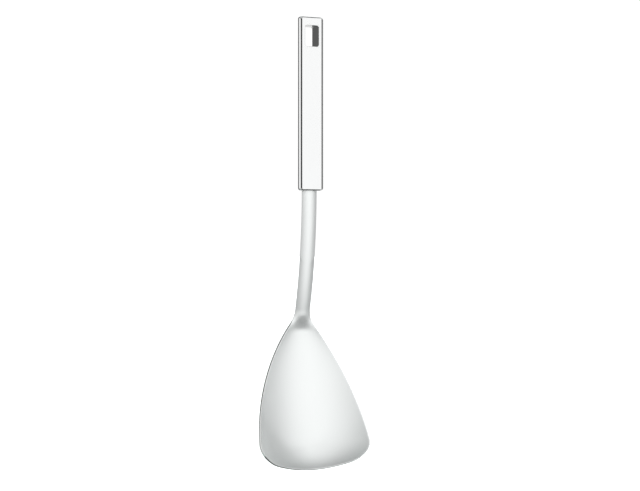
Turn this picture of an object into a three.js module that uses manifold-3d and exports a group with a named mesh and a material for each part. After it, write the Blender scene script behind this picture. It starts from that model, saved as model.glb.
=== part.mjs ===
// A wok spatula: a blade and shank pressed from one sheet, welded into a hollow handle
// with a hanging slot near its top end.
// Millimetres, +Z up. The spatula hangs: the origin is the middle of the slot's upper
// face, the blade is at the bottom and its hollow side faces -Y, as the handle's flat
// front does.
import * as THREE from "three";
import { mergeVertices } from "three/addons/utils/BufferGeometryUtils.js";
import Module from "manifold-3d";

const wasm = await Module();
wasm.setup();

// Handle: a flat front with rounded edges, and sides that lean in to a narrower back.
const HANDLE_LENGTH = 141;
const HANDLE_WIDTH = 22;
const HANDLE_DEPTH = 12.5;
const HANDLE_WALL = 1.2;
const SIDE_LEAN = 5.5;
const FRONT_EDGE_RADIUS = 3;
const BACK_EDGE_RADIUS = 4;
const END_EDGE_RADIUS = 1.1;
const TOP_CORNER_RADIUS = 1.5;
const BOTTOM_CORNER_RADIUS = 2.5;
const CAP_PLATE = 2.5;
const CAP_SKIRT_DEPTH = 3;
const CAP_SKIRT_WALL = 1.2;

// Hanging slot and the sleeve that lines it.
const SLOT_WIDTH = 12;
const SLOT_HEIGHT = 17;
const SLOT_CORNER_RADIUS = 1.8;
const SLOT_BELOW_TOP = 7;
const SLEEVE_WALL = 1;

// Sheet of the blade and shank, and its rounded rim.
const SHEET = 1.8;
const RIM_RADIUS = 0.6;

// Flat outline of the sheet: the tang inside the handle, the shank below it down to where
// it flares out, and the blade from there to its edge.
const TANG_LENGTH = 14;
const SHANK_WIDTH = 12.5;
const SHANK_LENGTH = 97.2;
const BLADE_LENGTH = 134.6;
const BLADE_WIDTH = 97.8;
const FLARE_RADIUS = 23.3;
const BLADE_SIDE_RADIUS = 192;
const BLADE_CORNER_RADIUS = 17.9;
const BLADE_EDGE_RADIUS = 454;

// Bends along the sheet: the shank bows back, the neck turns forward again, the blade
// keeps curving forward and its lower end curls up into a lip.
const BOW_RADIUS = 365;
const NECK_RADIUS = 66;
const NECK_TURN = 10;
const BLADE_BEND_RADIUS = 242;
const LIP_RADIUS = 75;
const LIP_LENGTH = 22;

// Pressing across the sheet: a raised crown on the shank, and a blade dished all the way
// down. Below the flare's start the crown turns over into a deeper hollow, which fades
// out down the blade.
const CROWN_HEIGHT = 2.4;
const DISH_RADIUS = 70;
const HOLLOW_DEPTH = 2;
const TURN_BELOW_FLARE = 4;
const TURN_LENGTH = 16;
const HOLLOW_LENGTH = 45;

// Flange of the lower cap that grips the tang.
const FLANGE_WALL = 1;
const FLANGE_DEPTH = 6;

// Clearance where one piece is let into another, closed by the weld.
const SEAT_GAP = 0.3;

// Fineness of the facets.
const ARC_SEGMENTS = 6;
const SHEET_COLUMNS = 16;
const ROWS = { tang: 2, shank: 10, flare: 8, side: 18, corner: 5 };
const RIM_ANGLES = [0, 45, 90];
const EASE_SEGMENTS = 3;

// Limits of the rounded edges: a rim's share of the sheet, an end's share of the front
// edge's radius, and the least radius that is left inside a wall.
const RIM_LIMIT = 0.45;
const EASE_LIMIT = 0.8;
const LEAST_RADIUS = 0.1;

const HANDLE_TOP = SLOT_BELOW_TOP;
const HANDLE_BOTTOM = HANDLE_TOP - HANDLE_LENGTH;
const RIM = Math.min(RIM_RADIUS, RIM_LIMIT * SHEET);
const EASE = Math.min(END_EDGE_RADIUS, EASE_LIMIT * FRONT_EDGE_RADIUS);
const OVERCUT = 5;
const MERGE_DISTANCE = 1e-4;

const rad = THREE.MathUtils.degToRad;

// A closed outline through corner points [x, y, radius], each corner rounded by an arc.
function roundedOutline(corners) {
  const shape = new THREE.Shape();
  corners.forEach(([x, y, radius], i) => {
    const corner = new THREE.Vector2(x, y);
    const [before, after] = [corners.length - 1, 1].map((step) => {
      const [nx, ny] = corners[(i + step) % corners.length];
      return new THREE.Vector2(nx, ny).sub(corner).normalize();
    });
    const half = Math.acos(before.dot(after)) / 2;
    const reach = radius / Math.tan(half);
    const centre = before.clone().add(after).setLength(radius / Math.sin(half)).add(corner);
    const start = before.clone().multiplyScalar(reach).add(corner).sub(centre);
    const end = after.clone().multiplyScalar(reach).add(corner).sub(centre);
    shape.absarc(centre.x, centre.y, radius, start.angle(), end.angle(), start.cross(end) < 0);
  });
  shape.closePath();
  return shape;
}

// An upright rectangle on the Z axis, seen from the front, with its own corner radius at
// the bottom and at the top.
function uprightOutline(width, bottom, top, bottomRadius, topRadius) {
  return roundedOutline([
    [-width / 2, bottom, bottomRadius],
    [width / 2, bottom, bottomRadius],
    [width / 2, top, topRadius],
    [-width / 2, top, topRadius],
  ]);
}

// The handle's cross-section in XY, moved inwards by an offset. Its width is that across
// the bulge of the rounded front edges.
function handleSection(inset = 0) {
  const front = -HANDLE_DEPTH / 2 + inset;
  const back = HANDLE_DEPTH / 2 - inset;
  const lean = Math.atan2(SIDE_LEAN, HANDLE_DEPTH);
  const beyondBulge = FRONT_EDGE_RADIUS * (1 / Math.cos(lean) + Math.tan(lean) - 1);
  const frontHalf = HANDLE_WIDTH / 2 + beyondBulge - inset / Math.cos(lean);
  const sideAt = (y) => frontHalf - (y + HANDLE_DEPTH / 2) * Math.tan(lean);
  const frontRadius = Math.max(FRONT_EDGE_RADIUS - inset, LEAST_RADIUS);
  const backRadius = Math.max(BACK_EDGE_RADIUS - inset, LEAST_RADIUS);
  return roundedOutline([
    [-sideAt(front), front, frontRadius],
    [sideAt(front), front, frontRadius],
    [sideAt(back), back, backRadius],
    [-sideAt(back), back, backRadius],
  ]);
}

// A shape in XY drawn out along Z from one height to another.
function drawnUp(shape, from, to) {
  const options = { depth: to - from, bevelEnabled: false, curveSegments: ARC_SEGMENTS };
  return new THREE.ExtrudeGeometry(shape, options).translate(0, 0, from);
}

// A shape in XZ drawn right through the handle from front to back.
function drawnThrough(shape) {
  const depth = HANDLE_DEPTH + 2 * OVERCUT;
  const options = { depth, bevelEnabled: false, curveSegments: ARC_SEGMENTS };
  return new THREE.ExtrudeGeometry(shape, options).rotateX(Math.PI / 2).translate(0, depth / 2, 0);
}

// A slab between two heights, wide enough to cut the whole handle.
function slab(from, to) {
  const span = HANDLE_WIDTH + HANDLE_DEPTH;
  return new THREE.BoxGeometry(span, span, to - from).translate(0, 0, (from + to) / 2);
}

function toSolid(geometry) {
  const bare = geometry.clone().deleteAttribute("normal").deleteAttribute("uv");
  const merged = mergeVertices(bare, MERGE_DISTANCE);
  const vertProperties = new Float32Array(merged.attributes.position.array);
  const triVerts = new Uint32Array(merged.index.array);
  return new wasm.Manifold(new wasm.Mesh({ numProp: 3, vertProperties, triVerts }));
}

function toGeometry(solid) {
  const mesh = solid.getMesh();
  const geometry = new THREE.BufferGeometry();
  geometry.setAttribute("position", new THREE.BufferAttribute(mesh.vertProperties, 3));
  geometry.setIndex(new THREE.BufferAttribute(mesh.triVerts, 1));
  geometry.computeVertexNormals();
  return geometry;
}

// The outer form of the closed handle: its section with eased ends, whose corners are
// rounded as seen from the front.
function handleForm() {
  const body = new THREE.ExtrudeGeometry(handleSection(), {
    depth: HANDLE_LENGTH - 2 * EASE,
    bevelThickness: EASE,
    bevelSize: EASE,
    bevelOffset: -EASE,
    bevelSegments: EASE_SEGMENTS,
    curveSegments: ARC_SEGMENTS,
  }).translate(0, 0, HANDLE_BOTTOM + EASE);
  const front = uprightOutline(
    HANDLE_WIDTH,
    HANDLE_BOTTOM,
    HANDLE_TOP,
    BOTTOM_CORNER_RADIUS,
    TOP_CORNER_RADIUS,
  );
  return toSolid(body).intersect(toSolid(drawnThrough(front)));
}

// The slot's outline in XZ, grown on every side by an offset.
function slotOutline(offset = 0) {
  const radius = SLOT_CORNER_RADIUS + offset;
  return uprightOutline(SLOT_WIDTH + 2 * offset, -SLOT_HEIGHT - offset, offset, radius, radius);
}

// The sleeve round the slot, trimmed flush with the handle's front and back.
function sleeveSolid(form) {
  const outer = toSolid(drawnThrough(slotOutline(SLEEVE_WALL)));
  return outer.intersect(form).subtract(toSolid(drawnThrough(slotOutline())));
}

// What is cut away for the sleeve.
function sleeveSeat() {
  return toSolid(drawnThrough(slotOutline(SLEEVE_WALL + SEAT_GAP)));
}

// The tube between the two caps.
function tubeSolid(form) {
  const length = toSolid(slab(HANDLE_BOTTOM + CAP_PLATE, HANDLE_TOP - CAP_PLATE));
  const bore = drawnUp(handleSection(HANDLE_WALL), HANDLE_BOTTOM - OVERCUT, HANDLE_TOP + OVERCUT);
  return form.intersect(length).subtract(toSolid(bore)).subtract(sleeveSeat());
}

// The skirt that a cap pushes into the tube, between two heights.
function capSkirt(from, to) {
  const outside = HANDLE_WALL + SEAT_GAP;
  const inside = drawnUp(handleSection(outside + CAP_SKIRT_WALL), from - OVERCUT, to + OVERCUT);
  return toSolid(drawnUp(handleSection(outside), from, to)).subtract(toSolid(inside));
}

// The upper cap: a plate on the tube's end with a skirt inside it.
function topCapSolid(form) {
  const seam = HANDLE_TOP - CAP_PLATE;
  const plate = form.intersect(toSolid(slab(seam, HANDLE_TOP + OVERCUT)));
  return plate.add(capSkirt(seam - CAP_SKIRT_DEPTH, seam)).subtract(sleeveSeat());
}

// The shank's crowned section in XY, grown on every side by an offset.
function shankSection(offset) {
  const half = SHANK_WIDTH / 2 - RIM;
  const [front, back] = [-1, 1].map((side) => {
    const points = [];
    for (let i = 0; i <= SHEET_COLUMNS; i++) {
      const share = (2 * i) / SHEET_COLUMNS - 1;
      const along = new THREE.Vector2(half, 2 * CROWN_HEIGHT * share).normalize();
      const across = new THREE.Vector2(-along.y, along.x);
      const point = new THREE.Vector2(share * half, -archAt(share, CROWN_HEIGHT));
      point.addScaledVector(across, side * (SHEET / 2 + offset));
      if (Math.abs(share) === 1) point.addScaledVector(along, share * (RIM + offset));
      points.push(point);
    }
    return points;
  });
  return new THREE.Shape([...front, ...back.reverse()]);
}

// The lower cap: the shank passes through its plate and is gripped by a flange inside.
function bottomCapSolid(form) {
  const seam = HANDLE_BOTTOM + CAP_PLATE;
  const flangeEnd = seam + FLANGE_DEPTH;
  const plate = form.intersect(toSolid(slab(HANDLE_BOTTOM - OVERCUT, seam)));
  const clearOfTube = toSolid(drawnUp(handleSection(HANDLE_WALL + SEAT_GAP), seam, flangeEnd));
  const flange = toSolid(drawnUp(shankSection(SEAT_GAP + FLANGE_WALL), seam, flangeEnd));
  const passage = toSolid(drawnUp(shankSection(SEAT_GAP), HANDLE_BOTTOM - OVERCUT, flangeEnd + OVERCUT));
  return plate
    .add(capSkirt(seam, seam + CAP_SKIRT_DEPTH))
    .add(flange.intersect(clearOfTube))
    .subtract(passage);
}

// Height of an arch above the sheet's edges, at a share of the half width.
function archAt(share, height) {
  return height * (1 - share * share);
}

// Where two circles meet, on the left of the way from the first centre to the second.
function circlesMeet(centreA, radiusA, centreB, radiusB) {
  const way = centreB.clone().sub(centreA);
  const span = way.length();
  way.normalize();
  const along = (radiusA ** 2 - radiusB ** 2 + span ** 2) / (2 * span);
  const aside = Math.sqrt(radiusA ** 2 - along ** 2);
  const left = new THREE.Vector2(-way.y, way.x);
  return centreA.clone().addScaledVector(way, along).addScaledVector(left, aside);
}

// Half of the flat outline, inside the rounded rim, as a chain of tangent curves from the
// tang's end to the middle of the blade's edge. Its x is across the sheet and its y runs
// down it from the handle's lower end.
function flatOutline() {
  const reach = SHANK_LENGTH + BLADE_LENGTH;
  const edge = new THREE.Vector2(0, reach - BLADE_EDGE_RADIUS);
  const cornerX = BLADE_WIDTH / 2 - BLADE_CORNER_RADIUS;
  const cornerDrop = Math.sqrt((BLADE_EDGE_RADIUS - BLADE_CORNER_RADIUS) ** 2 - cornerX ** 2);
  const corner = new THREE.Vector2(cornerX, edge.y + cornerDrop);
  const flare = new THREE.Vector2(SHANK_WIDTH / 2 + FLARE_RADIUS, SHANK_LENGTH);
  const side = circlesMeet(
    flare,
    BLADE_SIDE_RADIUS + FLARE_RADIUS,
    corner,
    BLADE_SIDE_RADIUS - BLADE_CORNER_RADIUS,
  );
  const angle = (from, to) => Math.atan2(to.y - from.y, to.x - from.x);
  const arc = (centre, radius, from, to, clockwise = false) =>
    new THREE.EllipseCurve(centre.x, centre.y, radius, radius, from, to, clockwise);
  const edgeRadius = BLADE_EDGE_RADIUS - RIM;
  const cornerRadius = BLADE_CORNER_RADIUS - RIM;
  const cornerStart = angle(side, corner);
  const cornerEnd = angle(edge, corner);
  const line = [-TANG_LENGTH + RIM, 0, SHANK_LENGTH].map(
    (down) => new THREE.Vector2(SHANK_WIDTH / 2 - RIM, down),
  );
  const curves = {
    tang: new THREE.LineCurve(line[0], line[1]),
    shank: new THREE.LineCurve(line[1], line[2]),
    flare: arc(flare, FLARE_RADIUS + RIM, Math.PI, angle(flare, side), true),
    side: arc(side, BLADE_SIDE_RADIUS - RIM, angle(side, flare), cornerStart),
    corner: arc(corner, cornerRadius, cornerStart, (cornerStart + cornerEnd) / 2),
  };
  // How far down the blade's lower edge lies, at a distance from the middle.
  const cornerFrom = edgeRadius * Math.cos(cornerEnd);
  const lowerEdge = (x) =>
    Math.abs(x) < cornerFrom
      ? edge.y + Math.sqrt(edgeRadius ** 2 - x ** 2)
      : corner.y + Math.sqrt(cornerRadius ** 2 - (Math.abs(x) - corner.x) ** 2);
  return { curves, lowerEdge };
}

// The stretches along the sheet, each bent to its own radius: positive turns it back.
const NECK_LENGTH = NECK_RADIUS * rad(NECK_TURN);
const BENDS = [
  { radius: BOW_RADIUS, length: SHANK_LENGTH },
  { radius: -NECK_RADIUS, length: NECK_LENGTH },
  { radius: -BLADE_BEND_RADIUS, length: BLADE_LENGTH - NECK_LENGTH - LIP_LENGTH },
  { radius: -LIP_RADIUS, length: Infinity },
];

// The bent middle line at a length below the handle, with its heading from straight down.
function middleLine(down) {
  const at = { y: 0, z: HANDLE_BOTTOM - Math.min(down, 0), heading: 0 };
  let left = Math.max(down, 0);
  for (const { radius, length } of BENDS) {
    const step = Math.min(left, length);
    const next = at.heading + step / radius;
    at.y += radius * (Math.cos(at.heading) - Math.cos(next));
    at.z -= radius * (Math.sin(next) - Math.sin(at.heading));
    at.heading = next;
    left -= step;
  }
  return at;
}

// A point of the flat sheet, pressed and bent into place. Share is x over the half width.
function pressed(x, share, down) {
  const start = SHANK_LENGTH + TURN_BELOW_FLARE;
  const end = start + TURN_LENGTH;
  const turned = THREE.MathUtils.smoothstep(down, start, end);
  const faded = THREE.MathUtils.smoothstep(down, end, end + HOLLOW_LENGTH);
  const middle = (1 - turned) * CROWN_HEIGHT - turned * (1 - faded) * HOLLOW_DEPTH;
  const raise = archAt(share, middle) + (turned * x * x) / (2 * DISH_RADIUS);
  const { y, z, heading } = middleLine(down);
  return new THREE.Vector3(x, y - raise * Math.cos(heading), z - raise * Math.sin(heading));
}

// The middle surface of the blade and shank: rows from the tang's end down to the blade's
// edge, straight at first and bowed more and more to end on the edge's curve.
function middleSurface() {
  const { curves, lowerEdge } = flatOutline();
  const ends = [curves.tang.getPoint(0)];
  for (const [name, rows] of Object.entries(ROWS)) {
    for (let i = 1; i <= rows; i++) ends.push(curves[name].getPoint(i / rows));
  }
  const last = ends[ends.length - 1];
  const surface = new THREE.PlaneGeometry(2, 1, SHEET_COLUMNS, ends.length - 1);
  const position = surface.attributes.position;
  for (let i = 0; i < position.count; i++) {
    const share = position.getX(i);
    const end = ends[Math.floor(i / (SHEET_COLUMNS + 1))];
    const bow = Math.max((end.y - SHANK_LENGTH) / (last.y - SHANK_LENGTH), 0) ** 2;
    const down = end.y + bow * (lowerEdge(share * last.x) - last.y);
    const point = pressed(share * end.x, share, down);
    position.setXYZ(i, point.x, point.y, point.z);
  }
  surface.computeVertexNormals();
  return { surface, rows: ends.length };
}

// The blade and shank: the middle surface thickened to both sides, closed by a rim whose
// edges are rounded.
function bladeAndShank() {
  const { surface, rows } = middleSurface();
  const columns = SHEET_COLUMNS + 1;
  const count = surface.attributes.position.count;
  const point = (i) => new THREE.Vector3().fromBufferAttribute(surface.attributes.position, i);
  const normal = (i) => new THREE.Vector3().fromBufferAttribute(surface.attributes.normal, i);

  const border = [];
  for (let c = 0; c < columns - 1; c++) border.push(c);
  for (let r = 0; r < rows - 1; r++) border.push(r * columns + columns - 1);
  for (let c = columns - 1; c > 0; c--) border.push((rows - 1) * columns + c);
  for (let r = rows - 1; r > 0; r--) border.push(r * columns);

  const vertices = [];
  for (const lift of [SHEET / 2, -SHEET / 2]) {
    for (let i = 0; i < count; i++) vertices.push(point(i).addScaledVector(normal(i), lift));
  }
  const round = RIM_ANGLES.map((degrees) => ({
    out: RIM * Math.sin(rad(degrees)),
    up: SHEET / 2 - RIM * (1 - Math.cos(rad(degrees))),
  }));
  const under = round.map(({ out, up }) => ({ out, up: -up })).reverse();
  const rings = [...round, ...under].map(({ out, up }, k, all) => {
    if (k === 0) return border;
    if (k === all.length - 1) return border.map((i) => i + count);
    return border.map((i, j) => {
      const before = point(border[(j + border.length - 1) % border.length]);
      const along = point(border[(j + 1) % border.length]).sub(before).normalize();
      const outward = normal(i).cross(along).normalize();
      vertices.push(point(i).addScaledVector(outward, out).addScaledVector(normal(i), up));
      return vertices.length - 1;
    });
  });

  const front = Array.from(surface.index.array);
  const index = [...front, ...front.map((i) => i + count).reverse()];
  for (let k = 0; k + 1 < rings.length; k++) {
    border.forEach((_, j) => {
      const next = (j + 1) % border.length;
      const [a, b] = [rings[k][j], rings[k][next]];
      const [c, d] = [rings[k + 1][next], rings[k + 1][j]];
      index.push(a, b, c, a, c, d);
    });
  }
  const sheet = new THREE.BufferGeometry().setFromPoints(vertices).setIndex(index);
  sheet.computeVertexNormals();
  return sheet;
}

const polished = () => new THREE.MeshStandardMaterial({ color: 0xdfe1e3, roughness: 0.08, metalness: 1 });
const satin = () => new THREE.MeshStandardMaterial({ color: 0xd3d6d8, roughness: 0.35, metalness: 1 });

function piece(name, geometry, material) {
  const mesh = new THREE.Mesh(geometry, material);
  mesh.name = name;
  return mesh;
}

const form = handleForm();
const handle = new THREE.Group();
handle.add(
  piece("handle_tube", toGeometry(tubeSolid(form)), polished()),
  piece("handle_top_cap", toGeometry(topCapSolid(form)), polished()),
  piece("handle_bottom_cap", toGeometry(bottomCapSolid(form)), polished()),
  piece("hanging_slot_sleeve", toGeometry(sleeveSolid(form)), polished()),
);

const spatula = new THREE.Group();
spatula.add(handle, piece("blade_and_shank", bladeAndShank(), satin()));

export default spatula;
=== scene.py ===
"""A wok spatula in steel: a satin blade and shank in a mirror-polished hollow handle.

Everything is in metres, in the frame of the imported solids: +Z is up along the hanging
spatula, and -Y is the flat front of the handle and the hollow side of the blade.
"""

from contextlib import contextmanager
from math import atan2, cos, inf, pi, radians, sin, sqrt, tan

import bmesh
import bpy
from bpy.props import FloatProperty, FloatVectorProperty, PointerProperty
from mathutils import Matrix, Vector


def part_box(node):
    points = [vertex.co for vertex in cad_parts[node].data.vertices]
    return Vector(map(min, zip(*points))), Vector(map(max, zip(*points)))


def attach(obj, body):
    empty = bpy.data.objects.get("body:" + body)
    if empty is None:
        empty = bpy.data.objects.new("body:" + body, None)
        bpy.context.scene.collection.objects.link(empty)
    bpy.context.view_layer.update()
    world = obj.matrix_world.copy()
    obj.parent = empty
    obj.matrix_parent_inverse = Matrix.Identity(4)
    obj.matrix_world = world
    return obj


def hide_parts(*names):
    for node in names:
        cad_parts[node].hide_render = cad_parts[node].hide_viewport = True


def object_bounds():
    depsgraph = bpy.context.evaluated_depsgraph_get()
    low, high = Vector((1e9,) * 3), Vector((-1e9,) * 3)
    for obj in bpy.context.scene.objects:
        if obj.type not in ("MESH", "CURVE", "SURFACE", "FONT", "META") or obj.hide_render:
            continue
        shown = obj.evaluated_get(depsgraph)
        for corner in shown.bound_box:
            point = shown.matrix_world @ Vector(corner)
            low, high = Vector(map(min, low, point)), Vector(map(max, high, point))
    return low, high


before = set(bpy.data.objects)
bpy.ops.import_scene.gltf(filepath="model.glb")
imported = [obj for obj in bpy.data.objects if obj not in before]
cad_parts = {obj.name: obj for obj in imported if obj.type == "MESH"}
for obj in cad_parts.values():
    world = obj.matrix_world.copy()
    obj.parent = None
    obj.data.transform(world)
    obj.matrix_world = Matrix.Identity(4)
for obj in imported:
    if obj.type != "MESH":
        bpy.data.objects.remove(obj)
CAD_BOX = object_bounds()

bl_info = {
    "name": "Wok spatula",
    "version": (1, 0, 0),
    "blender": (4, 5, 0),
    "location": "3D View > Sidebar > Spatula",
    "description": "Models a steel wok spatula and the studio that shows it",
    "category": "Mesh",
}

MM = 0.001

# Names of the finished pieces.
BLADE_AND_SHANK = "satin_blade_and_shank"
TUBE = "polished_tube"
TOP_CAP = "polished_top_cap"
BOTTOM_CAP = "polished_bottom_cap"
SLEEVE = "polished_slot_sleeve"

# The handle's heights and depth, and the slot's, as the solids have them.
HANDLE_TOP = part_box("handle_top_cap")[1].z
HANDLE_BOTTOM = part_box("handle_bottom_cap")[0].z
TUBE_LOW, TUBE_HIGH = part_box("handle_tube")
SLEEVE_LOW, SLEEVE_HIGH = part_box("hanging_slot_sleeve")
HANDLE_DEPTH = TUBE_HIGH.y - TUBE_LOW.y

# The photograph's width in pixels, and the millimetres of sensor that stand for it.
PHOTO_WIDTH = 640
SENSOR_WIDTH = 36

# Fineness of the meshes.
SHEET_COLUMNS = 30
SHEET_ROWS = 170
RIM_SEGMENTS = 3
CORNER_SEGMENTS = 14
EASE_SEGMENTS = 6
SMOOTH_ANGLE = radians(40)
RIM_ANGLE = radians(50)

# How far a cutting shape reaches past what it cuts, and what counts as no distance.
OVERCUT = 5 * MM
FLAT = 0.01 * MM

# Marks the vertices on the sheet's rim with 1 and the others with 0.
RIM_ATTRIBUTE = "rim"
RIM_LIMIT = 0.9

# Steel: height of the grain's relief, and the darkest shade of its colour.
GRAIN_HEIGHT = 0.02 * MM
DARKEST_SHADE = 0.94

# Floor: its side, its grey and its roughness, and how bright and how soft its light is.
FLOOR_SIDE = 60
FLOOR_GREY = 0.9
FLOOR_ROUGHNESS = 0.9
FLOOR_BRIGHTNESS = 1.2
FLOOR_LIGHT_SPREAD = radians(60)


def length(name, description, millimetres):
    """A property that holds a length, with its default in millimetres."""
    return FloatProperty(
        name=name,
        description=description,
        default=millimetres * MM,
        precision=5,
        unit="LENGTH",
        subtype="DISTANCE",
    )


def angle(name, description, degrees):
    """A property that holds an angle, with its default in degrees."""
    return FloatProperty(
        name=name,
        description=description,
        default=radians(degrees),
        unit="ROTATION",
        subtype="ANGLE",
    )


def share(name, description, default):
    """A property that holds a share from none to all."""
    return FloatProperty(
        name=name,
        description=description,
        default=default,
        min=0,
        max=1,
        subtype="FACTOR",
    )


def brightness(name, description, default):
    """A property that holds how bright a light looks, where 1 is white."""
    return FloatProperty(name=name, description=description, default=default, min=0)


def colour(name, description, default):
    """A property that holds a colour."""
    return FloatVectorProperty(
        name=name,
        description=description,
        default=default,
        min=0,
        max=1,
        subtype="COLOR",
    )


class SpatulaSheet(bpy.types.PropertyGroup):
    """Sizes of the blade and shank, which are pressed from one sheet."""

    thickness: length("Thickness", "Thickness of the sheet", 1.8)
    rim_radius: length("Rim radius", "Rounding of the sheet's rim", 0.35)
    tang_length: length("Tang length", "Length of the sheet inside the handle", 14)
    shank_width: length("Shank width", "Width of the shank", 12.5)
    shank_length: length("Shank length", "Length from the handle to the flare", 97.2)
    blade_length: length("Blade length", "Length from the flare to the edge", 134.6)
    blade_width: length("Blade width", "Width of the blade at its corners", 97.8)
    flare_radius: length("Flare radius", "Hollow curve from shank to blade", 23.3)
    side_radius: length("Side radius", "Curve of the blade's sides", 192)
    corner_radius: length("Corner radius", "Rounding of the blade's corners", 17.9)
    edge_radius: length("Edge radius", "Curve of the blade's lower edge", 454)
    bow_radius: length("Bow radius", "Bend of the shank, backwards", 365)
    neck_radius: length("Neck radius", "Bend of the neck, forwards", 66)
    neck_turn: angle("Neck turn", "Turn of the neck, forwards", 10)
    blade_bend_radius: length("Blade bend radius", "Bend of the blade, forwards", 242)
    lip_radius: length("Lip radius", "Bend of the blade's curled lower end", 75)
    lip_length: length("Lip length", "Length of the blade's curled lower end", 22)
    crown_height: length("Crown height", "Rise of the shank's middle", 2.4)
    dish_radius: length("Dish radius", "Hollow of the blade from side to side", 70)
    hollow_depth: length("Hollow depth", "Extra depth of the dish below the neck", 2)
    turn_below_flare: length("Turn start", "Where the crown starts to turn over, below the flare", 4)
    turn_length: length("Turn length", "Stretch over which the crown turns into the hollow", 16)
    hollow_length: length("Hollow length", "Stretch over which the hollow fades out", 45)


class SpatulaHandle(bpy.types.PropertyGroup):
    """Sizes of the hollow handle, its caps and its hanging slot."""

    width: length("Width", "Width across the bulge of the rounded front edges", 22)
    side_lean: length("Side lean", "How far each side leans in at the back", 5.5)
    wall: length("Wall", "Thickness of the tube's wall", 1.2)
    front_radius: length("Front radius", "Rounding of the front's long edges", 3)
    back_radius: length("Back radius", "Rounding of the back's long edges", 4)
    end_radius: length("End radius", "Rounding of each end at its front and back", 1.1)
    top_corner: length("Top corner", "Rounding of the upper end at its sides", 2.2)
    bottom_corner: length("Bottom corner", "Rounding of the lower end at its sides", 2.4)
    skirt_depth: length("Skirt depth", "Depth of each cap's skirt inside the tube", 3)
    skirt_wall: length("Skirt wall", "Thickness of each cap's skirt", 1.2)
    slot_radius: length("Slot radius", "Rounding of the hanging slot's corners", 1.8)
    sleeve_wall: length("Sleeve wall", "Thickness of the slot's sleeve", 1)
    slot_ease: length("Slot ease", "Rounding of the slot's rim", 0.25)
    seam: length("Seam", "Hairline between welded and polished pieces", 0.02)
    seat_gap: length("Seat gap", "Clearance of the skirts inside the tube", 0.3)


class SpatulaFinish(bpy.types.PropertyGroup):
    """Colours and gloss of the two steels."""

    polished_colour: colour("Polished colour", "Colour of the handle", (0.715, 0.72, 0.72))
    polished_roughness: share("Polished roughness", "Roughness of the handle", 0.06)
    satin_colour: colour("Satin colour", "Colour of the blade and shank", (0.823, 0.842, 0.837))
    satin_roughness: share("Satin roughness", "Roughness of the blade and shank", 0.427)
    satin_brushing: share("Satin brushing", "How far the satin spreads light sideways", 0.51)
    rim_roughness: share("Rim roughness", "Roughness of the sheet's polished rim", 0.12)


class SpatulaStage(bpy.types.PropertyGroup):
    """Camera, floor and lights."""

    azimuth: angle("Azimuth", "Where the camera stands, to the right of the front", -25)
    distance: length("Distance", "Distance from the camera to the handle's axis", 1280)
    aim_height: length("Aim height", "Height that the camera looks at", -178.6)
    aim_side: length("Aim side", "How far right of the axis the camera looks", 9.05)
    focal_pixels: FloatProperty(
        name="Focal length",
        description="Focal length in pixels of the photograph",
        default=1570.6,
    )
    floor_drop: length("Floor drop", "Depth of the floor below the blade", 60)
    background: brightness("Background", "Brightness of the white background", 1.05)
    surround: colour("Surround", "Dim light from all round", (0.463, 0.524, 0.509))
    key: brightness("Key light", "Brightness of the broad light in front", 1.41)
    key_fade_across: share("Key fade across", "Share of that light lost towards its sides", 0.853)
    key_fade_up: share("Key fade upwards", "Share of that light lost towards foot and top", 0.2)
    left: brightness("Left light", "Brightness of the dim light on the left", 0.56)
    right: brightness("Right light", "Brightness of the dim light on the right", 0.56)
    low: brightness("Low light", "Brightness of the dim light from below", 0.5)
    handle: brightness("Handle light", "Brightness of the light on the handle's front", 1.36)
    fill: brightness("Fill light", "Brightness of the light on the handle's left side", 1.2)
    rear: brightness("Rear light", "Brightness of the light behind", 0.85)
    soft: brightness("Soft light", "Brightness above and below on both sides of the handle", 0.7)
    left_shade: brightness("Left shade", "Brightness to the left of the handle's light", 0.07)
    right_shade: brightness("Right shade", "Brightness to the right of the handle's light", 0.3)
    flags: brightness("Flags", "Brightness of the dark screens", 0.14)


# Edit mode and modifiers.


def only(piece):
    """Select one object alone and make it the active one."""
    bpy.ops.object.select_all(action="DESELECT")
    piece.select_set(True)
    bpy.context.view_layer.objects.active = piece


def start(name, primitive, **settings):
    """Add a primitive and bring its place into its mesh."""
    bpy.ops.object.select_all(action="DESELECT")
    primitive(**settings)
    piece = bpy.context.active_object
    piece.name = name
    piece.data.name = name
    bpy.ops.object.transform_apply(location=True, rotation=True, scale=True)
    return piece


@contextmanager
def editing(piece):
    """Edit mode on one piece, with everything in it selected."""
    only(piece)
    bpy.ops.object.mode_set(mode="EDIT")
    bpy.ops.mesh.select_all(action="SELECT")
    yield
    bpy.ops.object.mode_set(mode="OBJECT")


def pick(piece, kind, test):
    """Select only the edges or faces of an edited piece that pass a test."""
    bpy.ops.mesh.select_mode(type={"edges": "EDGE", "faces": "FACE"}[kind])
    bpy.ops.mesh.select_all(action="DESELECT")
    mesh = bmesh.from_edit_mesh(piece.data)
    found = [element for element in getattr(mesh, kind) if test(element)]
    if not found:
        raise RuntimeError(f"{piece.name} has no {kind} to work on")
    for element in found:
        element.select_set(True)
    bmesh.update_edit_mesh(piece.data)


def draw_out(x=0, y=0, z=0):
    """Extrude what is selected."""
    bpy.ops.mesh.extrude_region_move(TRANSFORM_OT_translate={"value": (x, y, z)})


def modify(piece, kind, **settings):
    """Give a piece a modifier and apply it."""
    only(piece)
    modifier = piece.modifiers.new(kind, kind)
    for name, value in settings.items():
        setattr(modifier, name, value)
    bpy.ops.object.modifier_apply(modifier=modifier.name)


def combine(piece, operation, other):
    """Cut a piece by another object, join them or keep what they share, and remove that object."""
    modify(piece, "BOOLEAN", operation=operation, solver="EXACT", object=other)
    bpy.data.objects.remove(other)


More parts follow.
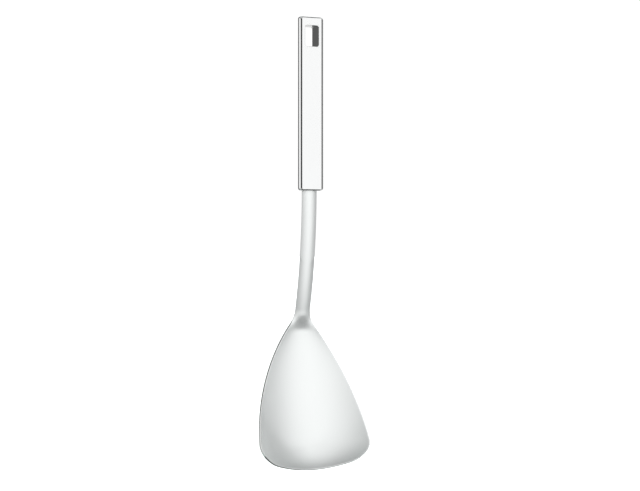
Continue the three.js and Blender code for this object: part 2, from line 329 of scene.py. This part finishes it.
def smooth_polished(piece):
    """Shade a piece smooth, with its flat faces true and its sharp edges kept."""
    only(piece)
    bpy.ops.object.shade_smooth_by_angle(angle=SMOOTH_ANGLE)
    modify(piece, "WEIGHTED_NORMAL", mode="FACE_AREA", weight=100, keep_sharp=True)


def settle(piece, node, material):
    """Let a finished piece stand for its solid, in its finish."""
    piece.data.materials.clear()
    piece.data.materials.append(material)
    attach(piece, "root")
    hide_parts(node)


# Blade and shank.


def arc(centre, radius, start_angle, end_angle):
    """A stretch of outline along an arc: its length and the point at a share of it."""

    def point(along):
        turned = start_angle + (end_angle - start_angle) * along
        return centre + radius * Vector((cos(turned), sin(turned)))

    return abs(end_angle - start_angle) * radius, point


def line(first, last):
    """A stretch of outline along a line: its length and the point at a share of it."""
    return (last - first).length, lambda along: first.lerp(last, along)


def circles_meet(centre_a, radius_a, centre_b, radius_b):
    """Where two circles meet, left of the way from the first centre to the second."""
    way = centre_b - centre_a
    span = way.length
    way.normalize()
    along = (radius_a**2 - radius_b**2 + span**2) / (2 * span)
    aside = sqrt(radius_a**2 - along**2)
    return centre_a + along * way + aside * Vector((-way.y, way.x))


class FlatOutline:
    """Half of the flat sheet's outline: x is across it and y runs down from the handle."""

    def __init__(self, sizes):
        reach = sizes.shank_length + sizes.blade_length
        half_shank = sizes.shank_width / 2
        corner_x = sizes.blade_width / 2 - sizes.corner_radius
        edge = Vector((0, reach - sizes.edge_radius))
        drop = sqrt((sizes.edge_radius - sizes.corner_radius) ** 2 - corner_x**2)
        corner = Vector((corner_x, edge.y + drop))
        flare = Vector((half_shank + sizes.flare_radius, sizes.shank_length))
        side = circles_meet(
            flare,
            sizes.side_radius + sizes.flare_radius,
            corner,
            sizes.side_radius - sizes.corner_radius,
        )

        def heading(origin, target):
            return atan2(target.y - origin.y, target.x - origin.x)

        corner_start = heading(side, corner)
        corner_end = heading(edge, corner)
        corner_middle = (corner_start + corner_end) / 2
        self.stretches = [
            line(Vector((half_shank, -sizes.tang_length)), Vector((half_shank, sizes.shank_length))),
            arc(flare, sizes.flare_radius, pi, heading(flare, side)),
            arc(side, sizes.side_radius, heading(side, flare), corner_start),
            arc(corner, sizes.corner_radius, corner_start, corner_middle),
        ]
        self.edge = edge
        self.edge_radius = sizes.edge_radius
        self.corner = corner
        self.corner_radius = sizes.corner_radius
        self.corner_from = sizes.edge_radius * cos(corner_end)
        self.length = sum(stretch for stretch, _ in self.stretches)
        self.end = self.at(1)

    def at(self, along):
        """The point at a share of the way from the tang's end to the middle of the corner."""
        left = along * self.length
        for stretch, point in self.stretches:
            if left <= stretch:
                return point(left / stretch)
            left -= stretch
        return point(1)

    def lower_edge(self, x):
        """How far down the blade's lower edge lies, at a distance from the middle."""
        if abs(x) < self.corner_from:
            return self.edge.y + sqrt(self.edge_radius**2 - x**2)
        return self.corner.y + sqrt(self.corner_radius**2 - (abs(x) - self.corner.x) ** 2)


def middle_line(sizes, down):
    """The bent middle line at a length below the handle: its y, z and heading."""
    neck_length = sizes.neck_radius * sizes.neck_turn
    bends = (
        (sizes.bow_radius, sizes.shank_length),
        (-sizes.neck_radius, neck_length),
        (-sizes.blade_bend_radius, sizes.blade_length - neck_length - sizes.lip_length),
        (-sizes.lip_radius, inf),
    )
    y = 0
    z = HANDLE_BOTTOM - min(down, 0)
    heading = 0
    left = max(down, 0)
    for radius, stretch in bends:
        step = min(left, stretch)
        turned = heading + step / radius
        y += radius * (cos(heading) - cos(turned))
        z -= radius * (sin(turned) - sin(heading))
        heading = turned
        left -= step
    return y, z, heading


def arch(across, height):
    """Rise of an arch above the sheet's edges, at a share of its half width."""
    return height * (1 - across**2)


def eased(along, first, stretch):
    """From none to all over a stretch, with a soft start and end."""
    part = min(max((along - first) / stretch, 0), 1)
    return part**2 * (3 - 2 * part)


def pressed(sizes, x, across, down):
    """A point of the flat sheet, pressed and bent into place."""
    turn_start = sizes.shank_length + sizes.turn_below_flare
    turned = eased(down, turn_start, sizes.turn_length)
    faded = eased(down, turn_start + sizes.turn_length, sizes.hollow_length)
    middle = (1 - turned) * sizes.crown_height - turned * (1 - faded) * sizes.hollow_depth
    raised = arch(across, middle) + turned * x**2 / (2 * sizes.dish_radius)
    y, z, heading = middle_line(sizes, down)
    return Vector((x, y - raised * cos(heading), z - raised * sin(heading)))


class SPATULA_OT_blade_and_shank(bpy.types.Operator):
    """Press the blade, neck, shank and tang from one sheet"""

    bl_idname = "spatula.blade_and_shank"
    bl_label = "Blade and shank"
    bl_options = {"REGISTER", "UNDO"}

    def execute(self, context):
        sizes = context.scene.spatula_sheet
        outline = FlatOutline(sizes)
        sheet = start(
            BLADE_AND_SHANK,
            bpy.ops.mesh.primitive_grid_add,
            x_subdivisions=SHEET_COLUMNS,
            y_subdivisions=SHEET_ROWS,
            size=2,
        )
        rim = sheet.data.attributes.new(RIM_ATTRIBUTE, "FLOAT", "POINT")
        for vertex in sheet.data.vertices:
            across = vertex.co.x
            rim.data[vertex.index].value = max(abs(across), abs(vertex.co.y)) > 1 - FLAT
            end = outline.at((1 - vertex.co.y) / 2)
            low = (end.y - sizes.shank_length) / (outline.end.y - sizes.shank_length)
            bow = outline.lower_edge(across * outline.end.x) - outline.end.y
            down = end.y + max(low, 0) ** 2 * bow
            vertex.co = pressed(sizes, across * end.x, across, down)
        modify(sheet, "SOLIDIFY", thickness=sizes.thickness, offset=0, use_even_offset=True)
        with editing(sheet):
            pick(sheet, "edges", lambda edge: edge.calc_face_angle() > RIM_ANGLE)
            bpy.ops.mesh.bevel(offset=sizes.rim_radius, segments=RIM_SEGMENTS, affect="EDGES")
        modify(sheet, "SUBSURF", levels=1, render_levels=1)
        bpy.ops.object.shade_smooth()
        settle(sheet, "blade_and_shank", satin_steel(context))
        return {"FINISHED"}


# Handle.


def handle_section(sizes, inset):
    """The points round the handle's section, moved inwards: flat front, leaning sides."""
    lean = atan2(sizes.side_lean, HANDLE_DEPTH)
    front = Vector((sizes.width / 2, -HANDLE_DEPTH / 2)) + sizes.front_radius * Vector((-1, 1))
    back_y = HANDLE_DEPTH / 2 - sizes.back_radius
    off_side = sizes.front_radius - sizes.back_radius - (back_y - front.y) * sin(lean)
    back = Vector((front.x + off_side / cos(lean), back_y))
    half = []
    for centre, radius, first, last in (
        (front, sizes.front_radius, -pi / 2, lean),
        (back, sizes.back_radius, lean, pi / 2),
    ):
        _, point = arc(centre, radius - inset, first, last)
        half += [point(step / CORNER_SEGMENTS) for step in range(CORNER_SEGMENTS + 1)]
    return half + [Vector((-point.x, point.y)) for point in reversed(half)]


def handle_prism(name, sizes, low, high, inset=0):
    """The handle's section drawn up between two heights."""
    section = handle_section(sizes, inset)
    circle = bpy.ops.mesh.primitive_circle_add
    prism = start(name, circle, vertices=len(section), fill_type="NGON")
    for vertex, point in zip(prism.data.vertices, section):
        vertex.co = (*point, low)
    with editing(prism):
        draw_out(z=high - low)
        bpy.ops.mesh.select_all(action="SELECT")
        bpy.ops.mesh.normals_make_consistent(inside=False)
    return prism


def slot_prism(name, sizes, grown):
    """The hanging slot's outline drawn through the handle, grown on every side."""
    width = SLEEVE_HIGH.x - SLEEVE_LOW.x - 2 * sizes.sleeve_wall + 2 * grown
    height = SLEEVE_HIGH.z - SLEEVE_LOW.z - 2 * sizes.sleeve_wall + 2 * grown
    through = HANDLE_DEPTH + 2 * OVERCUT
    middle = (0, -through / 2, (SLEEVE_HIGH.z + SLEEVE_LOW.z) / 2)
    upright = (pi / 2, 0, 0)
    plane = bpy.ops.mesh.primitive_plane_add
    prism = start(name, plane, size=1, location=middle, rotation=upright)
    with editing(prism):
        bpy.ops.transform.resize(value=(width, 1, height), center_override=middle)
        bpy.ops.mesh.bevel(
            offset=sizes.slot_radius + grown,
            segments=CORNER_SEGMENTS,
            affect="VERTICES",
        )
        bpy.ops.mesh.select_all(action="SELECT")
        draw_out(y=through)
        bpy.ops.mesh.select_all(action="SELECT")
        bpy.ops.mesh.normals_make_consistent(inside=False)
    return prism


def round_end(plate, sizes, end, corner):
    """Round a plate's end all the way round, more at its sides than at its front and back."""
    weights = plate.data.attributes.new("bevel_weight_edge", "FLOAT", "EDGE")
    for edge in plate.data.edges:
        first, last = (plate.data.vertices[index].co for index in edge.vertices)
        if abs(first.z - end) < FLAT and abs(last.z - end) < FLAT:
            sideways = abs((last - first).normalized().y)
            radius = sizes.end_radius + sideways * (corner - sizes.end_radius)
            weights.data[edge.index].value = radius / corner
    modify(
        plate,
        "BEVEL",
        width=corner,
        segments=EASE_SEGMENTS,
        limit_method="WEIGHT",
        use_clamp_overlap=False,
    )


def shank_prism(name, context, grown):
    """The shank's crowned section drawn up through the lower cap, grown on every side."""
    sheet = context.scene.spatula_sheet
    low = HANDLE_BOTTOM - OVERCUT
    prism = start(
        name,
        bpy.ops.mesh.primitive_grid_add,
        x_subdivisions=SHEET_COLUMNS,
        y_subdivisions=1,
        size=2,
    )
    half = sheet.shank_width / 2
    for vertex in prism.data.vertices:
        across = vertex.co.x
        side = vertex.co.y
        along = Vector((half, 2 * sheet.crown_height * across)).normalized()
        outward = Vector((-along.y, along.x)) * side
        point = Vector((across * half, -arch(across, sheet.crown_height)))
        point += outward * (sheet.thickness / 2 + grown)
        if abs(across) > 1 - FLAT:
            point += along * across * grown
        vertex.co = (*point, low)
    with editing(prism):
        draw_out(z=TUBE_LOW.z + OVERCUT - low)
        bpy.ops.mesh.select_all(action="SELECT")
        bpy.ops.mesh.normals_make_consistent(inside=False)
    return prism


class SPATULA_OT_handle_tube(bpy.types.Operator):
    """Draw the handle's tube, with the cut-out for the slot's sleeve"""

    bl_idname = "spatula.handle_tube"
    bl_label = "Handle tube"
    bl_options = {"REGISTER", "UNDO"}

    def execute(self, context):
        sizes = context.scene.spatula_handle
        tube = handle_prism(TUBE, sizes, TUBE_LOW.z, TUBE_HIGH.z)
        with editing(tube):
            pick(tube, "faces", lambda face: abs(face.normal.z) > 0.5)
            bpy.ops.mesh.delete(type="FACE")
        modify(tube, "SOLIDIFY", thickness=sizes.wall, offset=-1, use_even_offset=True)
        seat = slot_prism("sleeve_seat", sizes, sizes.sleeve_wall + sizes.seam)
        combine(tube, "DIFFERENCE", seat)
        smooth_polished(tube)
        settle(tube, "handle_tube", polished_steel(context))
        return {"FINISHED"}


class SPATULA_OT_handle_caps(bpy.types.Operator):
    """Make the caps that close the handle's ends"""

    bl_idname = "spatula.handle_caps"
    bl_label = "Handle caps"
    bl_options = {"REGISTER", "UNDO"}

    def cap(self, context, name, seam, end, corner):
        """A plate from its seam on the tube to the handle's end, with a skirt in the tube."""
        sizes = context.scene.spatula_handle
        plate = handle_prism(name, sizes, min(seam, end), max(seam, end))
        round_end(plate, sizes, end, corner)
        inward = -1 if end > seam else 1
        deep = seam + inward * sizes.skirt_depth
        rooted = seam - inward * sizes.seat_gap
        outside = sizes.wall + sizes.seat_gap
        skirt = handle_prism("skirt", sizes, min(deep, rooted), max(deep, rooted), outside)
        deeper = deep + inward * OVERCUT
        hollow = handle_prism(
            "hollow",
            sizes,
            min(deeper, seam),
            max(deeper, seam),
            outside + sizes.skirt_wall,
        )
        combine(plate, "UNION", skirt)
        combine(plate, "DIFFERENCE", hollow)
        return plate

    def execute(self, context):
        sizes = context.scene.spatula_handle
        top = self.cap(
            context,
            TOP_CAP,
            TUBE_HIGH.z,
            HANDLE_TOP,
            sizes.top_corner,
        )
        bottom = self.cap(
            context,
            BOTTOM_CAP,
            TUBE_LOW.z,
            HANDLE_BOTTOM,
            sizes.bottom_corner,
        )
        combine(bottom, "DIFFERENCE", shank_prism("passage", context, sizes.seam))
        for cap, node in ((top, "handle_top_cap"), (bottom, "handle_bottom_cap")):
            smooth_polished(cap)
            settle(cap, node, polished_steel(context))
        return {"FINISHED"}


class SPATULA_OT_slot_sleeve(bpy.types.Operator):
    """Line the hanging slot, flush with the handle's front and back"""

    bl_idname = "spatula.slot_sleeve"
    bl_label = "Hanging slot sleeve"
    bl_options = {"REGISTER", "UNDO"}

    def execute(self, context):
        sizes = context.scene.spatula_handle
        sleeve = slot_prism(SLEEVE, sizes, sizes.sleeve_wall)
        combine(sleeve, "INTERSECT", handle_prism("handle_body", sizes, TUBE_LOW.z, TUBE_HIGH.z))
        combine(sleeve, "DIFFERENCE", slot_prism("opening", sizes, 0))
        half_width = SLEEVE_HIGH.x - sizes.sleeve_wall
        low = SLEEVE_LOW.z + sizes.sleeve_wall
        high = SLEEVE_HIGH.z - sizes.sleeve_wall

        def on_rim(edge):
            if edge.calc_face_angle() < RIM_ANGLE:
                return False
            points = [vertex.co for vertex in edge.verts]
            return all(
                abs(point.x) < half_width + FLAT and low - FLAT < point.z < high + FLAT
                for point in points
            )

        with editing(sleeve):
            pick(sleeve, "edges", on_rim)
            bpy.ops.mesh.bevel(offset=sizes.slot_ease, segments=EASE_SEGMENTS, affect="EDGES")
        smooth_polished(sleeve)
        settle(sleeve, "hanging_slot_sleeve", polished_steel(context))
        return {"FINISHED"}


# Finishes.


class Wire:
    """An output of a node tree. Arithmetic on it adds Math nodes."""

    def __init__(self, tree, socket=None):
        self.tree = tree
        self.socket = socket

    def node(self, kind, settings=None, sockets=None, output=0):
        """Add a node: its settings first, then the values or wires of its sockets."""
        node = self.tree.nodes.new(kind)
        for name, value in (settings or {}).items():
            setattr(node, name, value)
        for name, value in (sockets or {}).items():
            if isinstance(value, Wire):
                self.tree.links.new(value.socket, node.inputs[name])
            else:
                node.inputs[name].default_value = value
        return Wire(self.tree, node.outputs[output])

    def math(self, operation, first, second):
        """Add a Math node."""
        return self.node("ShaderNodeMath", {"operation": operation}, {0: first, 1: second})

    def __add__(self, other):
        return self.math("ADD", self, other)

    def __radd__(self, other):
        return self.math("ADD", other, self)

    def __sub__(self, other):
        return self.math("SUBTRACT", self, other)

    def __rsub__(self, other):
        return self.math("SUBTRACT", other, self)

    def __mul__(self, other):
        return self.math("MULTIPLY", self, other)

    def __rmul__(self, other):
        return self.math("MULTIPLY", other, self)

    def feeds(self, socket):
        """Link this output to a socket."""
        self.tree.links.new(self.socket, socket)


def noise(place, scale):
    """Soft noise on a place, stretched by a scale along each axis."""
    stretched = place.node(
        "ShaderNodeVectorMath",
        {"operation": "MULTIPLY"},
        {0: place, 1: scale},
    )
    return place.node(
        "ShaderNodeTexNoise",
        {"noise_dimensions": "3D"},
        {"Vector": stretched, "Scale": 1, "Detail": 2},
    )


def steel(name, tint, roughness, rim, brushed, grain_scale, cloud_scale, unevenness, bump):
    """Steel with a fine grain along its length, a faintly uneven sheen and a rim of its own."""
    made = bpy.data.materials.get(name)
    if made:
        return made
    made = bpy.data.materials.new(name)
    made.use_nodes = True
    tree = made.node_tree
    shader = tree.nodes["Principled BSDF"]
    shader.inputs["Metallic"].default_value = 1
    shader.inputs["Anisotropic"].default_value = brushed
    place = Wire(tree).node("ShaderNodeTexCoord", output="Object")
    grain = noise(place, grain_scale)
    cloud = noise(place, cloud_scale)
    on_rim = place.node("ShaderNodeAttribute", {"attribute_name": RIM_ATTRIBUTE}, output="Fac")
    on_rim = place.math("GREATER_THAN", on_rim, RIM_LIMIT)
    rough = roughness + unevenness * (cloud - 0.5) + unevenness * (grain - 0.5)
    rough = rough + (rim - roughness) * on_rim
    rough.feeds(shader.inputs["Roughness"])
    darker = tuple(DARKEST_SHADE * part for part in tint)
    shade = place.node(
        "ShaderNodeMix",
        {"data_type": "RGBA"},
        {"Factor": 0.5 * grain + 0.5 * cloud, "A": (*darker, 1), "B": (*tint, 1)},
        output="Result",
    )
    shade.feeds(shader.inputs["Base Color"])
    relief = place.node(
        "ShaderNodeBump",
        None,
        {"Strength": bump, "Distance": GRAIN_HEIGHT, "Height": grain},
    )
    relief.feeds(shader.inputs["Normal"])
    return made


def satin_steel(context):
    """The blade's finish: a fine satin grain along the tool."""
    finish = context.scene.spatula_finish
    return steel(
        "satin_sheet",
        finish.satin_colour,
        finish.satin_roughness,
        rim=finish.rim_roughness,
        brushed=finish.satin_brushing,
        grain_scale=(2600, 50, 50),
        cloud_scale=(40, 40, 18),
        unevenness=0.06,
        bump=0.3,
    )


def polished_steel(context):
    """The handle's finish: a mirror with the faintest polishing marks."""
    finish = context.scene.spatula_finish
    return steel(
        "polished_handle",
        finish.polished_colour,
        finish.polished_roughness,
        rim=finish.polished_roughness,
        brushed=0,
        grain_scale=(1800, 1800, 40),
        cloud_scale=(60, 60, 25),
        unevenness=0.03,
        bump=0.05,
    )


# Stage.


def glow(name, level, fades, clear):
    """A material that shines from its middle and loses a share of it across and upwards.

    A clear one lets what is behind it shine through as well.
    """
    made = bpy.data.materials.new(name)
    made.use_nodes = True
    tree = made.node_tree
    tree.nodes.clear()
    place = Wire(tree).node("ShaderNodeTexCoord", output="Generated")
    strength = level
    for axis, fade in zip("XY", fades):
        off_middle = 2 * place.node("ShaderNodeSeparateXYZ", None, {0: place}, output=axis) - 1
        strength = (1 - fade * off_middle * off_middle) * strength
    light = place.node("ShaderNodeEmission", None, {"Strength": strength})
    if clear:
        behind = place.node("ShaderNodeBsdfTransparent")
        light = place.node("ShaderNodeAddShader", None, {0: light, 1: behind})
    output = tree.nodes.new("ShaderNodeOutputMaterial")
    light.feeds(output.inputs["Surface"])
    return made


def group(name, pieces):
    """A collection of pieces, by name, that a light may be kept for."""
    made = bpy.data.collections.new(name)
    for piece in pieces:
        made.objects.link(bpy.data.objects[piece])
    return made


def card(target, name, distance, sides, heights, level, fades=(0, 0), lit=None, clear=False):
    """A card between two azimuths and two elevations in degrees, which only reflections show.

    Azimuths run from the front towards +X. A card that is kept for a group of pieces shines
    on no other.
    """
    sides = [radians(side) for side in sides]
    heights = [radians(height) for height in heights]
    azimuth = sum(sides) / 2
    elevation = sum(heights) / 2
    way = Vector(
        (
            sin(azimuth) * cos(elevation),
            -cos(azimuth) * cos(elevation),
            sin(elevation),
        )
    )
    turn = way.to_track_quat("Z", "Y").to_euler()
    place = target + distance * way
    bpy.ops.object.select_all(action="DESELECT")
    bpy.ops.mesh.primitive_plane_add(size=2, location=place, rotation=turn)
    made = bpy.context.active_object
    made.name = name
    half_width = distance * tan((sides[1] - sides[0]) / 2)
    half_height = distance * tan((heights[1] - heights[0]) / 2)
    made.scale = (half_width, half_height, 1)
    made.data.materials.append(glow(name, level, fades, clear))
    if lit:
        made.light_linking.receiver_collection = lit
    made.visible_camera = False
    made.visible_diffuse = False
    made.visible_shadow = False


class SPATULA_OT_stage(bpy.types.Operator):
    """Set up the camera, the floor and the lights"""

    bl_idname = "spatula.stage"
    bl_label = "Stage"
    bl_options = {"REGISTER", "UNDO"}

    def camera(self, scene, stage):
        """Stand the camera where the photograph's camera stood."""
        right = Vector((cos(stage.azimuth), sin(stage.azimuth), 0))
        ahead = Vector((-sin(stage.azimuth), cos(stage.azimuth), 0))
        aim = Vector((0, 0, stage.aim_height)) + stage.aim_side * right
        bpy.ops.object.camera_add(
            location=aim - stage.distance * ahead,
            rotation=(pi / 2, 0, stage.azimuth),
        )
        made = bpy.context.active_object
        made.name = "camera"
        made.data.sensor_fit = "HORIZONTAL"
        made.data.sensor_width = SENSOR_WIDTH
        made.data.lens = SENSOR_WIDTH * stage.focal_pixels / PHOTO_WIDTH
        scene.camera = made

    def floor(self, stage):
        """Lay a pale floor below the blade, with a light that whitens it."""
        low = CAD_BOX[0].z - stage.floor_drop
        bpy.ops.object.select_all(action="DESELECT")
        bpy.ops.mesh.primitive_plane_add(size=FLOOR_SIDE, location=(0, 0, low))
        made = bpy.context.active_object
        made.name = "floor"
        made.visible_glossy = False
        material = bpy.data.materials.new("pale_floor")
        material.use_nodes = True
        shader = material.node_tree.nodes["Principled BSDF"]
        shader.inputs["Base Color"].default_value = (FLOOR_GREY, FLOOR_GREY, FLOOR_GREY, 1)
        shader.inputs["Roughness"].default_value = FLOOR_ROUGHNESS
        shader.inputs["Specular IOR Level"].default_value = 0
        made.data.materials.append(material)
        bpy.ops.object.light_add(type="SUN", location=(0, 0, 1))
        light = bpy.context.active_object
        light.name = "floor_light"
        light.data.energy = FLOOR_BRIGHTNESS * pi / FLOOR_GREY
        light.data.angle = FLOOR_LIGHT_SPREAD
        light.visible_glossy = False

    def surround(self, scene, stage):
        """Make all round look white to the camera and dim to reflections."""
        world = bpy.data.worlds.new("white_studio")
        world.use_nodes = True
        scene.world = world
        tree = world.node_tree
        tree.nodes.clear()
        wire = Wire(tree)
        seen = wire.node("ShaderNodeLightPath", output="Is Camera Ray")
        dim = wire.node("ShaderNodeBackground", None, {"Color": (*stage.surround, 1)})
        white = wire.node(
            "ShaderNodeBackground",
            None,
            {"Color": (1, 1, 1, 1), "Strength": stage.background},
        )
        mixed = wire.node("ShaderNodeMixShader", None, {0: seen, 1: dim, 2: white})
        output = tree.nodes.new("ShaderNodeOutputWorld")
        mixed.feeds(output.inputs["Surface"])

    def lights(self, stage):
        """Hang the cards: some for the sheet alone, some for the handle alone, and the rest."""
        fading = stage.key_fade_across, stage.key_fade_up
        # Name, distance, azimuths, elevations and brightness. A near card hides a far one,
        # unless it is clear.
        on_sheet = (
            ("key_card", 8, (-53, 72.5), (-35.5, 52), stage.key, fading),
            ("left_card", 10, (-106, -53), (-40, 58), stage.left),
            ("right_card", 10, (72.5, 145), (-40, 50), stage.right),
            ("low_card", 12, (-45, 90), (-61, -35.5), stage.low),
        )
        on_handle = (
            ("handle_card", 6, (-3, 39), (-28, 40), stage.handle),
            ("left_shade", 6, (-50, -3), (-14, 16), stage.left_shade),
            ("right_shade", 6, (39, 138), (-14, 16), stage.right_shade),
            ("fill_card", 6, (-112, -50), (-14, 16), stage.fill),
            ("left_low_card", 6, (-112, -22), (-56, -14), stage.soft),
            ("left_high_card", 6, (-112, -4), (16, 62), stage.soft),
            ("right_low_card", 6, (55, 138), (-56, -14), stage.soft),
            ("right_high_card", 6, (48, 138), (16, 62), stage.soft),
        )
        on_both = (
            ("rear_card", 10, (140, 166), (-40, 14), stage.rear),
            ("rear_high_card", 10, (166, 197), (-13, 14), stage.rear),
            ("top_flag", 12, (0, 85), (47, 86), stage.flags),
            ("low_flag", 12, (-5, 55), (-120, -60), stage.flags),
            ("back_flag", 12, (-191, -106), (-45, 62), stage.flags),
        )
        rear_low = "rear_low_card", 10, (166, 197), (-40, -13), stage.rear
        middle = Vector((0, 0, stage.aim_height))
        sheet = group("lit_sheet", [BLADE_AND_SHANK])
        handle = group("lit_handle", [TUBE, TOP_CAP, BOTTOM_CAP, SLEEVE])
        for row in on_sheet:
            card(middle, *row, lit=sheet)
        for row in on_handle:
            card(middle, *row, lit=handle, clear=True)
        for row in on_both:
            card(middle, *row)
        card(middle, *rear_low, lit=sheet, clear=True)

    def execute(self, context):
        scene = context.scene
        stage = scene.spatula_stage
        self.camera(scene, stage)
        self.floor(stage)
        self.surround(scene, stage)
        self.lights(stage)
        scene.view_settings.view_transform = "Standard"
        return {"FINISHED"}


class SPATULA_PT_sidebar(bpy.types.Panel):
    """The steps that make the spatula, in order"""

    bl_idname = "SPATULA_PT_sidebar"
    bl_label = "Wok spatula"
    bl_space_type = "VIEW_3D"
    bl_region_type = "UI"
    bl_category = "Spatula"

    def draw(self, context):
        for step in STEPS:
            self.layout.operator(step.bl_idname)


STEPS = (
    SPATULA_OT_blade_and_shank,
    SPATULA_OT_handle_tube,
    SPATULA_OT_handle_caps,
    SPATULA_OT_slot_sleeve,
    SPATULA_OT_stage,
)
GROUPS = {
    "spatula_sheet": SpatulaSheet,
    "spatula_handle": SpatulaHandle,
    "spatula_finish": SpatulaFinish,
    "spatula_stage": SpatulaStage,
}
CLASSES = (*GROUPS.values(), *STEPS, SPATULA_PT_sidebar)


def register():
    for made in CLASSES:
        bpy.utils.register_class(made)
    for name, properties in GROUPS.items():
        setattr(bpy.types.Scene, name, PointerProperty(type=properties))


def unregister():
    for name in GROUPS:
        delattr(bpy.types.Scene, name)
    for made in reversed(CLASSES):
        bpy.utils.unregister_class(made)


def main():
    register()
    bpy.ops.spatula.blade_and_shank()
    bpy.ops.spatula.handle_tube()
    bpy.ops.spatula.handle_caps()
    bpy.ops.spatula.slot_sleeve()
    bpy.ops.spatula.stage()


if __name__ == "__main__":
    main()
